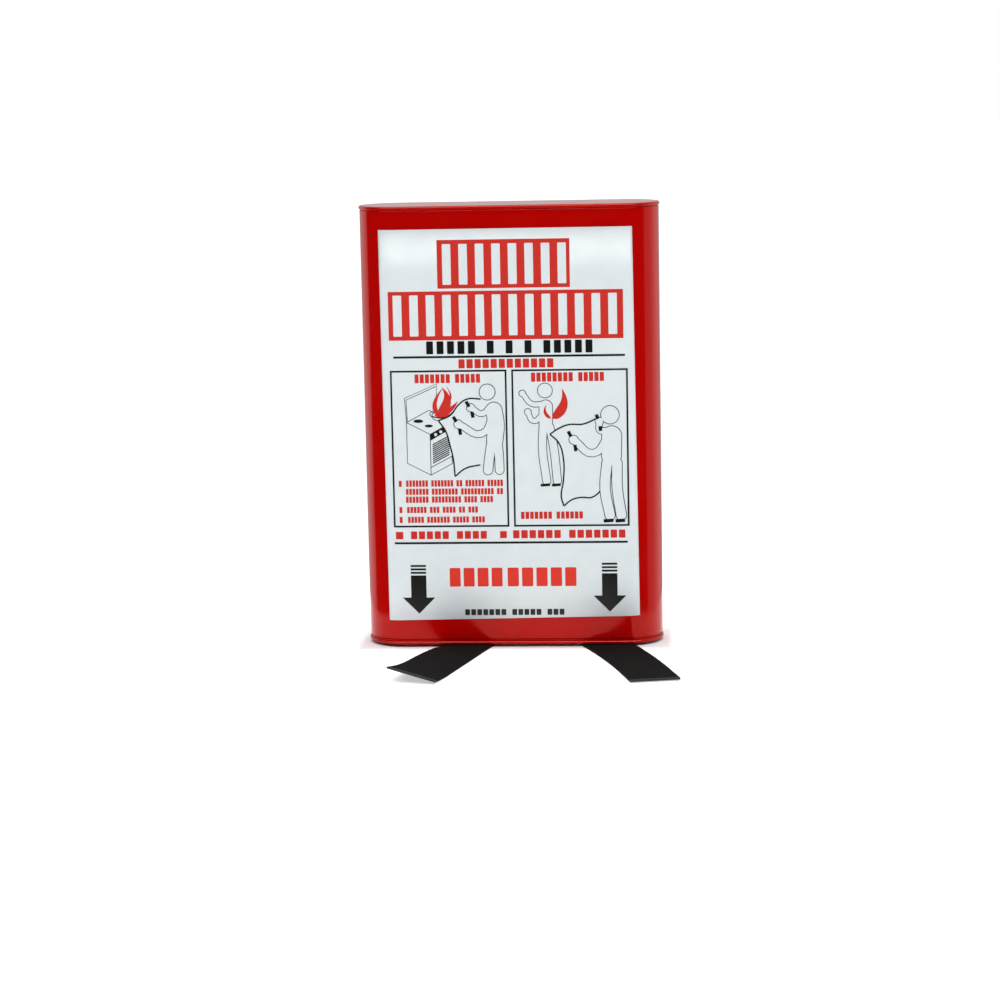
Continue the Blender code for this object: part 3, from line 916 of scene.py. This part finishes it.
# %% Pictogram at right: a figure with clothes on fire, and another bringing the cloth
figure(black, white, 0, limbs=[
    ([(21.6, 145), (21, 131), (23.4, 109.4)], 5.0), ([(26.0, 145), (28.4, 131), (30.4, 109.4)], 5.0),
    ([(23.6, 158.6), (23.4, 147)], 8.4), ([(21.4, 160.4), (14.4, 160.6), (9, 166.8)], 3.0),
    ([(21.4, 153.4), (15.4, 149.2), (12, 154.4)], 3.0),
], rounds=[(23.2, 169.2, 4.6), (8.4, 167.4, 2.0), (11.8, 155.2, 2.0)])
curve_into(black, [[(25.6, 107.0), (19.4, 106.6)], [(32.6, 107.0), (26.8, 106.6)]], 1.8, layer=3)
flames(red, 4, [
    ((27.4, 150.6), (39.4, 158), (34.2, 170.6), 6.4), ((27.8, 150.6), (32.4, 154.6), (37.4, 157.8), 2.4),
    ((27.0, 150.6), (20.6, 154.4), (24.2, 160.2), 2.2)])
carried_cloth(
    top=[(26, 140.4), (32, 144.2), (38.4, 146.6), (47.6, 146.8), (57.4, 150.8)],
    side=[(26, 140.4), (31.8, 134.4), (34.6, 124), (34.4, 110), (32.8, 99), (34.4, 92.8)],
    bottom=[(34.4, 92.8), (40, 97), (46, 98.4), (53, 98.4), (60.4, 104.4)],
    hidden=[(62, 146), (62, 112)])
figure(black, white, 3, limbs=[
    ([(69.6, 121), (69.6, 104), (72.0, 86.4)], 6.4), ([(63.0, 121), (61.6, 104), (64.6, 86.4)], 6.4),
    ([(66.4, 139), (66, 126)], 12.6), ([(62.4, 142.4), (58.8, 142.6), (58.4, 147.6)], 3.8),
    ([(64.2, 138.4), (54, 127.6), (42, 136.2)], 4.6),
], rounds=[(65.4, 152.8, 5.8), (58.4, 148.6, 2.5), (41.4, 136.6, 2.8)])
curve_into(black, [[(38, 142.2), (39.8, 138.6)], [(42.2, 133.2), (42.8, 129)],
                   [(56.4, 153), (57.6, 150.2)], [(58.8, 145.4), (59.2, 142.2)],
                   [(66.8, 83.0), (60.4, 82.6)], [(74.4, 83.0), (68.2, 82.6)]],
           TAPE_STROKE, layer=6, corners=True)
print("right pictogram drawn")

# %% Print the four inks
printed(red, "print_red", ink_red)
printed(white, "print_white", vinyl)
printed(warm, "print_warm_red", ink_warm)
printed(black, "print_black", ink_black)

# %% [markdown]
# ## The folded blanket
#
# The cloth is one sheet, a metre square. It is pleated six wide and the strip is then folded four
# high, both to and fro. A simulation would have to fold it 24 deep without tangling, so the fold is
# worked out instead: one function follows a strip to and fro, and it is used twice, once for the
# pleats and once for the whole stack. The first flat grid already has the cloth's own UV map.

# %% Fold the cloth
PLEATS = 6
PANELS = 4
CLOTH_T = 0.00042
PLEAT_CUTS = 5
PANEL_CUTS = 12
BEND_CUTS = (4, 8)
RUMPLE = 0.00022
WAVINESS = (28, 22, 0.35)  # of the rumples across, up, and from layer to layer
DRAWN_IN = 0.006  # share by which a rumpled edge draws in

panel_pitch = (pack_high.y - pack_low.y) / PANELS
pleat_pitch = panel_pitch / PLEATS
pleat_width = pack_high.x - pack_low.x - CLOTH_T
bend = panel_pitch / 2
stack_half = (PLEATS - 1) / 2 * pleat_pitch
fold_low = pack_low.z + bend + stack_half + CLOTH_T
fold_high = pack_high.z - bend - stack_half - CLOTH_T


def stations(count, straight, cuts, bend_cuts):
    """(turn number, run along the straight, angle round the bend) for each line across the strip."""
    found = []
    for i in range(count):
        found += [(i, straight * k / cuts, 0.0) for k in range(cuts + 1)]
        if i < count - 1:
            found += [(i, straight, pi * k / bend_cuts) for k in range(1, bend_cuts)]
    return found


def strip_length(station, straight, radius):
    i, run, angle = station
    return i * (straight + pi * radius) + run + angle * radius


pleat_radius = pleat_pitch / 2
pleat_straight = pleat_width - 2 * pleat_radius
panel_straight = fold_high - fold_low
across = stations(PLEATS, pleat_straight, PLEAT_CUTS, BEND_CUTS[0])
along = stations(PANELS, panel_straight, PANEL_CUTS, BEND_CUTS[1])


def pleated(station):
    """(sideways place, place through the stack) of a line of the pleated strip."""
    i, run, angle = station
    way = 1 if i % 2 == 0 else -1
    side = way * (run - pleat_straight / 2 + pleat_radius * sin(angle))
    return side, i * pleat_pitch + pleat_radius * (1 - cos(angle)) - stack_half


def panelled(station, through):
    """(y, z) of a line of the stack, at a place through it."""
    i, run, angle = station
    way = 1 if i % 2 == 0 else -1
    end = fold_low if way > 0 else fold_high
    y = pack_low.y + (i + 0.5) * panel_pitch + bend * (1 - cos(angle))
    z = end + way * (run + bend * sin(angle))
    return y + way * cos(angle) * through, z - sin(angle) * through


bm = bmesh.new()
columns, rows = len(across) - 1, len(along) - 1
bmesh.ops.create_grid(bm, x_segments=columns, y_segments=rows, size=0.5)
cloth_uv = bm.loops.layers.uv.new("cloth")
wide = strip_length(across[-1], pleat_straight, pleat_radius)
long = strip_length(along[-1], panel_straight, bend)
place_of = {}
for vert in bm.verts:
    place_of[vert] = (round((vert.co.x + 0.5) * columns), round((vert.co.y + 0.5) * rows))
for face in bm.faces:
    for corner_loop in face.loops:
        i, j = place_of[corner_loop.vert]
        corner_loop[cloth_uv].uv = (
            strip_length(across[i], pleat_straight, pleat_radius),
            strip_length(along[j], panel_straight, bend))
for vert, (i, j) in place_of.items():
    side, through = pleated(across[i])
    y, z = panelled(along[j], through)
    layer = across[i][0] + PLEATS * along[j][0]
    soft = noise.noise(Vector((side * WAVINESS[0], z * WAVINESS[1], layer * WAVINESS[2])))
    inward = -1 if y > MID_Y else 1
    vert.co = (side * (1 - DRAWN_IN * abs(soft)), y + inward * RUMPLE * (1 + soft), z)
bmesh.ops.recalc_face_normals(bm, faces=bm.faces)
blanket = make(bm, "folded_blanket", glass_cloth, sharp=60)
cloth = blanket.modifiers.new("Thickness", "SOLIDIFY")
cloth.thickness = CLOTH_T
cloth.offset = 0.0
settle(blanket)
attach(blanket, "blanket")
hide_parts("blanket")
print(f"folded strip {wide:.3f} x {long:.3f} m")
report(blanket)

# %% [markdown]
# ## The pull tapes
#
# Each tape is a single strip. It lies flat against the pack inside the case, turns forward through
# the mouth and runs out on the table, a little to one side. It has to bend again when the case
# hangs. The whole strip is one mesh.

# %% Tape line
TAPE_T = 0.0013
TAIL_L = 0.115
BEND_R = 0.0021
FLAT_RUN = 0.014
ROOT_ROWS = 12
BEND_ROWS = 8
TAIL_ROWS = 56
TAPE_COLUMNS = 12
EDGE_ROUND = 0.0003
TWIST, TWIST_RUN = 0.0052, 0.035  # how high a lift gets, and over how much of the tail
LEFT_TIP, LEFT_TIP_RUN = 0.0039, 0.040
LEFT_CURL, LEFT_CURL_RUN = 0.0014, 0.025
RIGHT_CURL, RIGHT_CURL_RUN = 0.0007, 0.030


def past(run, stretch):
    """How far a place is into the tail's last stretch, from 0 to 1 at its tip."""
    return max(0.0, run - (TAIL_L - stretch)) / stretch


def left_lift(run, side):
    twist = TWIST * (1 - exp(-max(0.0, run - FLAT_RUN) / TWIST_RUN))
    twist += LEFT_TIP * past(run, LEFT_TIP_RUN) ** 2
    curl = LEFT_CURL * past(run, LEFT_CURL_RUN) ** 2
    return twist * (0.5 - side / TAPE_W) + curl * (0.5 + side / TAPE_W)


def right_lift(run, _):
    """The right tape lies flat across, so where a point is across it doesn't matter."""
    return RIGHT_CURL * past(run, RIGHT_CURL_RUN) ** 2


def tape_point(station, side, middle, floor_z, headings, sign, lift):
    """Place of a point on the tape: station is (stretch, amount), side is across from its middle."""
    stretch, amount = station
    x, y = middle
    first, last = (radians(h) * sign for h in headings)
    if stretch == "root":
        return Vector((x + side, y, floor_z + BEND_R + amount))
    if stretch == "bend":
        turn = first * amount ** 3  # it turns aside once it is below the rim
        reach = BEND_R * (1 - cos(pi / 2 * amount))
        z = floor_z + BEND_R * (1 - sin(pi / 2 * amount))
        return Vector((x + reach * sin(turn) + side * cos(turn),
                       y - reach * cos(turn) + side * sin(turn), z))
    turn = first + (last - first) * amount / TAIL_L
    mean = (first + turn) / 2
    return Vector((x + amount * sin(mean) + side * cos(turn),
                   y - amount * cos(mean) + side * sin(turn), floor_z + lift(amount, side)))


def tape(name, root, tail, headings, sign, lift):
    root_low, root_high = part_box(root)
    middle = ((root_low.x + root_high.x) / 2, (root_low.y + root_high.y) / 2)
    floor_z = BASE_Z - FIT - TAPE_T / 2
    root_l = root_high.z - floor_z - BEND_R
    line = [("root", root_l * (1 - k / ROOT_ROWS)) for k in range(ROOT_ROWS + 1)]
    line += [("bend", k / BEND_ROWS) for k in range(1, BEND_ROWS + 1)]
    line += [("tail", BEND_R + (TAIL_L - BEND_R) * k / TAIL_ROWS) for k in range(1, TAIL_ROWS + 1)]
    runs = [root_l - amount if stretch == "root" else
            root_l + pi / 2 * BEND_R * amount if stretch == "bend" else
            root_l + pi / 2 * BEND_R + amount - BEND_R for stretch, amount in line]
    slack = TAPE_LENGTH - runs[-1]
    bm = bmesh.new()
    count = len(line) - 1
    bmesh.ops.create_grid(bm, x_segments=TAPE_COLUMNS, y_segments=count, size=0.5)
    cloth_uv = bm.loops.layers.uv.new("cloth")
    for face in bm.faces:
        for corner_loop in face.loops:
            spot = corner_loop.vert.co
            corner_loop[cloth_uv].uv = (spot.x * TAPE_W, runs[round((spot.y + 0.5) * count)] + slack)
    for vert in bm.verts:
        station = line[round((vert.co.y + 0.5) * count)]
        vert.co = tape_point(station, vert.co.x * TAPE_W, middle, floor_z, headings, sign, lift)
    bmesh.ops.recalc_face_normals(bm, faces=bm.faces)
    strip = make(bm, name, webbing, sharp=50)
    thick = strip.modifiers.new("Thickness", "SOLIDIFY")
    thick.thickness = TAPE_T
    thick.offset = 0.0
    soft = strip.modifiers.new("Rounded edges", "BEVEL")
    soft.width = EDGE_ROUND
    soft.segments = 2
    soft.limit_method = "ANGLE"
    soft.angle_limit = radians(60)
    settle(strip)
    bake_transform(strip)
    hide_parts(root, tail)
    print(f"{name}: {runs[-1] * 1000:.1f} mm long")
    return report(strip)

# %% [markdown]
# ### Both tapes
#
# Each tape heads so many degrees aside at the mouth and so many at its tip.

# %% Both tapes
tape("left_pull_tape", "left_tape_root", "left_tape_tail", (14.4, 14.4), -1, left_lift)
tape("right_pull_tape", "right_tape_root", "right_tape_tail", (22.5, 12.5), 1, right_lift)

# %% [markdown]
# ## Box stitching
#
# Each root is sewn to the cloth in a square with a cross. A stitch is a short piece of thread sunk
# into the tape at both ends, so each is a slim ball shape, repeated along the seam's lines.

# %% Stitches
STITCH_L = 0.0029
STITCH_GAP = 0.0007
THREAD_R = 0.00025
EASE = 0.0012


def sew(name, node_name):
    low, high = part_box(node_name)
    y = (low.y + high.y) / 2
    left, right = low.x + EASE, high.x - EASE
    base, top = low.z + EASE, high.z - EASE
    corners = [Vector((x, y, z)) for x, z in ((left, base), (right, base), (right, top), (left, top))]
    lines = list(zip(corners, corners[1:] + corners[:1]))
    lines += [(corners[0], corners[2]), (corners[1], corners[3])]
    bm = bmesh.new()
    for start, end in lines:
        run = end - start
        count = int(run.length / (STITCH_L + STITCH_GAP))
        turn = run.normalized().to_track_quat("X", "Z").to_matrix().to_4x4()
        for i in range(count):
            spot = Matrix.Translation(start + run * (i + 0.5) / count)
            size = Matrix.Diagonal((STITCH_L / 2, THREAD_R, THREAD_R, 1.0))
            bmesh.ops.create_uvsphere(
                bm, u_segments=6, v_segments=5, radius=1.0, matrix=spot @ turn @ size)
    done = make(bm, name, thread, sharp=80)
    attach(done, "blanket")
    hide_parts(node_name)
    return report(done)


sew("left_stitches", "left_box_stitch")
sew("right_stitches", "right_box_stitch")

# %% [markdown]
# ## The floor
#
# The floor is plain white paper. Its glow is painted light: it glows on its own as a painted pool of
# light, most near the case, less and less away from it and not at all right under it, so a soft
# painted contact shadow stays. Only the paper close to the case is mirrored in the enamel: with a
# wide floor mirrored in it, the red front would go pale.

# %% Floor
FLOOR_Z = BASE_Z - FIT - TAPE_T
NEAR, FAR = 0.2, 12.0
CONTACT = (0.002, 0.012)  # the paper starts to glow and glows fully, from the case outwards
FADE = (0.12, 0.35)  # and it fades between these
GLOW = (0.48, 0.2)  # from this strength to that
painted_glow_paper, tree, shader = new_finish(
    "studio_floor_painted_glow", Roughness=0.9, Specular_IOR_Level=0.1, Emission_Color=linear("#FFFFFF"))
place = node(tree, "ShaderNodeTexCoord").outputs["Object"]
grain = node(tree, "ShaderNodeTexNoise", {"Vector": place, "Scale": per(400), "Detail": 2.0})
tone = node(tree, "ShaderNodeMix", {
    "Factor": grain.outputs["Fac"], "A": linear("#F5F5F5"), "B": linear("#F8F8F8")}, data_type="RGBA")
tree.links.new(tone.outputs["Result"], shader.inputs["Base Color"])
spot = node(tree, "ShaderNodeSeparateXYZ", {"Vector": place})
clear = []
for axis, middle, half in (("X", 0.0, STRAIGHT + RADIUS), ("Y", MID_Y, RADIUS)):
    off = node(tree, "ShaderNodeMath", {0: spot.outputs[axis], 1: middle}, operation="SUBTRACT")
    away = node(tree, "ShaderNodeMath", {0: off.outputs["Value"]}, operation="ABSOLUTE")
    clear.append(node(tree, "ShaderNodeMath", {0: away.outputs["Value"], 1: half}, operation="SUBTRACT"))
# Painted light: the glow below is a painted pool of light round the case, and its fall to nothing within
# about a centimetre of the case is a painted contact shadow.
gap = node(tree, "ShaderNodeMath", {
    0: clear[0].outputs["Value"], 1: clear[1].outputs["Value"]}, operation="MAXIMUM").outputs["Value"]
shade = node(tree, "ShaderNodeMapRange", {
    "Value": gap, "From Min": CONTACT[0], "From Max": CONTACT[1], "To Min": 0.0, "To Max": 1.0},
    interpolation_type="SMOOTHSTEP")
glow = node(tree, "ShaderNodeMapRange", {
    "Value": gap, "From Min": FADE[0], "From Max": FADE[1], "To Min": GLOW[0], "To Max": GLOW[1]},
    interpolation_type="SMOOTHSTEP")
painted_glow_strength = node(tree, "ShaderNodeMath", {
    0: shade.outputs["Result"], 1: glow.outputs["Result"]}, operation="MULTIPLY")
tree.links.new(painted_glow_strength.outputs["Value"], shader.inputs["Emission Strength"])
level = Matrix.Translation((0, 0, FLOOR_Z))
bm = bmesh.new()
bmesh.ops.create_circle(bm, cap_ends=True, segments=96, radius=NEAR, matrix=level)
make(bm, "near_floor", painted_glow_paper)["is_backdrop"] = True
bm = bmesh.new()
inside = bmesh.ops.create_circle(bm, segments=96, radius=NEAR, matrix=level)["verts"]
outside = bmesh.ops.create_circle(bm, segments=96, radius=FAR, matrix=level)["verts"]
for i in range(len(inside)):
    bm.faces.new((inside[i - 1], inside[i], outside[i], outside[i - 1]))
bmesh.ops.recalc_face_normals(bm, faces=bm.faces)
far_floor = make(bm, "far_floor", painted_glow_paper)
far_floor.visible_glossy = False
far_floor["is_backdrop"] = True
print(f"floor at {FLOOR_Z * 1000:.1f} mm")

# %% [markdown]
# ## Studio light
#
# Enamel shows mostly what it reflects, so the studio is planned as reflections. It is bright behind,
# round the right side and overhead, and dark in front. That keeps the front a deep red and gives
# each half-round end a pale band. The camera sees plain white beyond the paper. Two soft lights are
# added. One is low in front and lights the case without being mirrored in it. The other is high in
# front and is only mirrored, in the beads and in the sheen of the label.

# %% Studio light
scene = bpy.context.scene
scene.view_settings.view_transform = "Standard"
studio = bpy.data.worlds.new("studio")
scene.world = studio
studio.use_nodes = True
tree = studio.node_tree
toward = node(tree, "ShaderNodeSeparateXYZ", {
    "Vector": node(tree, "ShaderNodeTexCoord").outputs["Generated"]})
# A card's light steps up along an axis of the sky: (axis, from, to, strength before, strength after).
CARDS = {
    "behind": ("Y", 0.19, 0.26, 0.02, 1.05),
    "beside": ("Y", -0.29, -0.21, 0.0, 0.85),
    "right_only": ("X", 0.0, 0.2, 0.0, 1.0),
    "dimmer_middle": ("Y", 0.6, 0.9, 1.0, 0.55),
    "overhead": ("Z", 0.58, 0.68, 0.0, 1.6),
}
card = {}
for name, (axis, start, end, low, high) in CARDS.items():
    card[name] = node(tree, "ShaderNodeMapRange", {
        "Value": toward.outputs[axis], "From Min": start, "From Max": end,
        "To Min": low, "To Max": high}, interpolation_type="SMOOTHSTEP").outputs["Result"]
right = node(tree, "ShaderNodeMath", {
    0: card["beside"], 1: card["right_only"]}, operation="MULTIPLY").outputs["Value"]
camera_ray = node(tree, "ShaderNodeLightPath").outputs["Is Camera Ray"]
light = card["behind"]
for operation, other in (
        ("MAXIMUM", right), ("MULTIPLY", card["dimmer_middle"]),
        ("MAXIMUM", card["overhead"]), ("MAXIMUM", camera_ray)):
    light = node(tree, "ShaderNodeMath", {0: light, 1: other}, operation=operation).outputs["Value"]
tree.links.new(light, tree.nodes["Background"].inputs["Strength"])
tree.nodes["Background"].inputs["Color"].default_value = (1.0, 1.0, 1.0, 1.0)


def softbox(name, spot, aim, wide, tall, power, mirrored=False):
    """A soft light that is either mirrored in the enamel or lights it, not both."""
    data = bpy.data.lights.new(name, "AREA")
    data.shape = "RECTANGLE"
    data.size, data.size_y = wide, tall
    data.energy = power
    lamp = bpy.data.objects.new(name, data)
    facing = (Vector(aim) - Vector(spot)).to_track_quat("-Z", "Y").to_matrix().to_4x4()
    lamp.matrix_world = Matrix.Translation(spot) @ facing
    lamp.visible_glossy = mirrored
    lamp.visible_diffuse = not mirrored
    scene.collection.objects.link(lamp)


softbox("low_fill", (0.0, -0.75, -0.2), (0, 0, -0.22), 1.0, 0.06, 1.5)
softbox("over_card", (0.0, -1.0, 1.25), (0, 0, 0.1), 3.0, 1.6, 85.0, mirrored=True)

# %% [markdown]
# ## The camera
#
# The camera stands 1.8 m off, 0.1 m above the lid and a little to the case's right. Its long lens
# keeps the sides almost upright.

# %% Camera
PLACE = (0.12085, -1.81269, 0.14317)
HEADING = 4.168
PITCH = 9.356
TILT = -1.140
LENS = 98.097
SENSOR = 36.0
lens = bpy.data.cameras.new("camera")
lens.sensor_width = SENSOR
lens.lens = LENS
lens.clip_start, lens.clip_end = 0.05, 60.0
camera = bpy.data.objects.new("camera", lens)
camera.matrix_world = (
    Matrix.Translation(PLACE)
    @ Matrix.Rotation(radians(HEADING), 4, "Z")
    @ Matrix.Rotation(radians(90 - PITCH), 4, "X")
    @ Matrix.Rotation(radians(TILT), 4, "Z"))
scene.collection.objects.link(camera)
scene.camera = camera
print(f"lens {lens.lens:.1f} mm")

boxes = {"cad": cad_box, "visual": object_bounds()}
for name, (low, high) in boxes.items():
    print(name, [round(v * 1000, 1) for v in low], [round(v * 1000, 1) for v in high])
